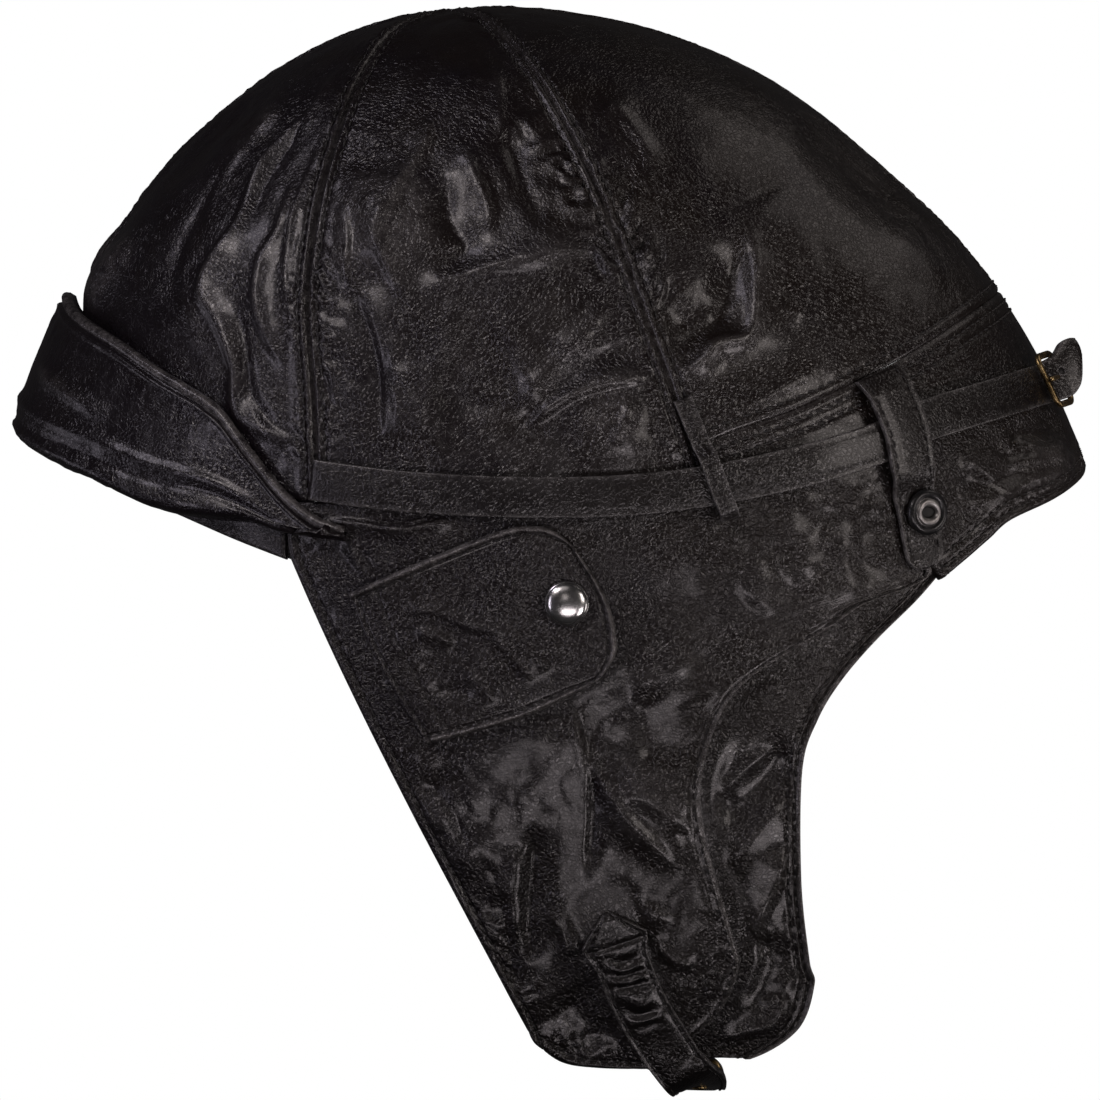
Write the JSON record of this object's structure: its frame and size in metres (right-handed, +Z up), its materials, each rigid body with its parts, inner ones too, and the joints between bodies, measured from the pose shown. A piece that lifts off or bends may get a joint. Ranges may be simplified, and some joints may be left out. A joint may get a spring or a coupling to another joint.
{
  "type": "leather flying helmet",
  "caption": "Soft black leather flying helmet: gored crown, turned-up front brim, ear flaps with snap-down covers, rear strap with buckle and a chin strap loop.",
  "frame": {"origin": "middle of the head opening at the height of the belt line, where the head holds the helmet up", "axes": "+Z up, -X is the front of the helmet, -Y is the wearer's left"},
  "size_m": [0.2395, 0.1682, 0.2424],
  "materials": {
    "gore_leather": "glossy black nappa, fine grain",
    "band_leather": "black nappa, less polished",
    "brim_leather": "glossy black nappa, fine grain",
    "flap_leather": "black nappa, soft sheen",
    "strap_leather": "black leather, worn edges",
    "nickel": "polished nickel, slightly worn",
    "stud_metal": "black enamel ring round a nickel socket",
    "old_brass": "antique brass"
  },
  "bodies": {
    "root": {"crown_front_left": "gore_leather", "crown_front_right": "gore_leather", "crown_side_left": "gore_leather", "crown_side_right": "gore_leather", "crown_rear_left": "gore_leather", "crown_rear_right": "gore_leather", "nape_yoke": "gore_leather", "forehead_band": "band_leather", "front_brim": "brim_leather", "ear_flap_left": "flap_leather", "ear_flap_right": "flap_leather", "cheek_gusset_left": "flap_leather", "cheek_gusset_right": "flap_leather", "neck_flap": "flap_leather", "ear_cover_left": "flap_leather", "ear_cover_right": "flap_leather", "rear_strap_left": "strap_leather", "rear_strap_right": "strap_leather", "belt_loop_left": "strap_leather", "belt_loop_right": "strap_leather", "snap_tab_left": "strap_leather", "snap_tab_right": "strap_leather", "chin_strap": "strap_leather", "ear_snap_left": "nickel", "ear_snap_right": "nickel", "tab_stud_left": "stud_metal", "tab_stud_right": "stud_metal", "buckle_frame": "old_brass", "buckle_prong": "old_brass", "chin_buckle": "old_brass"}
  },
  "joints": []
}
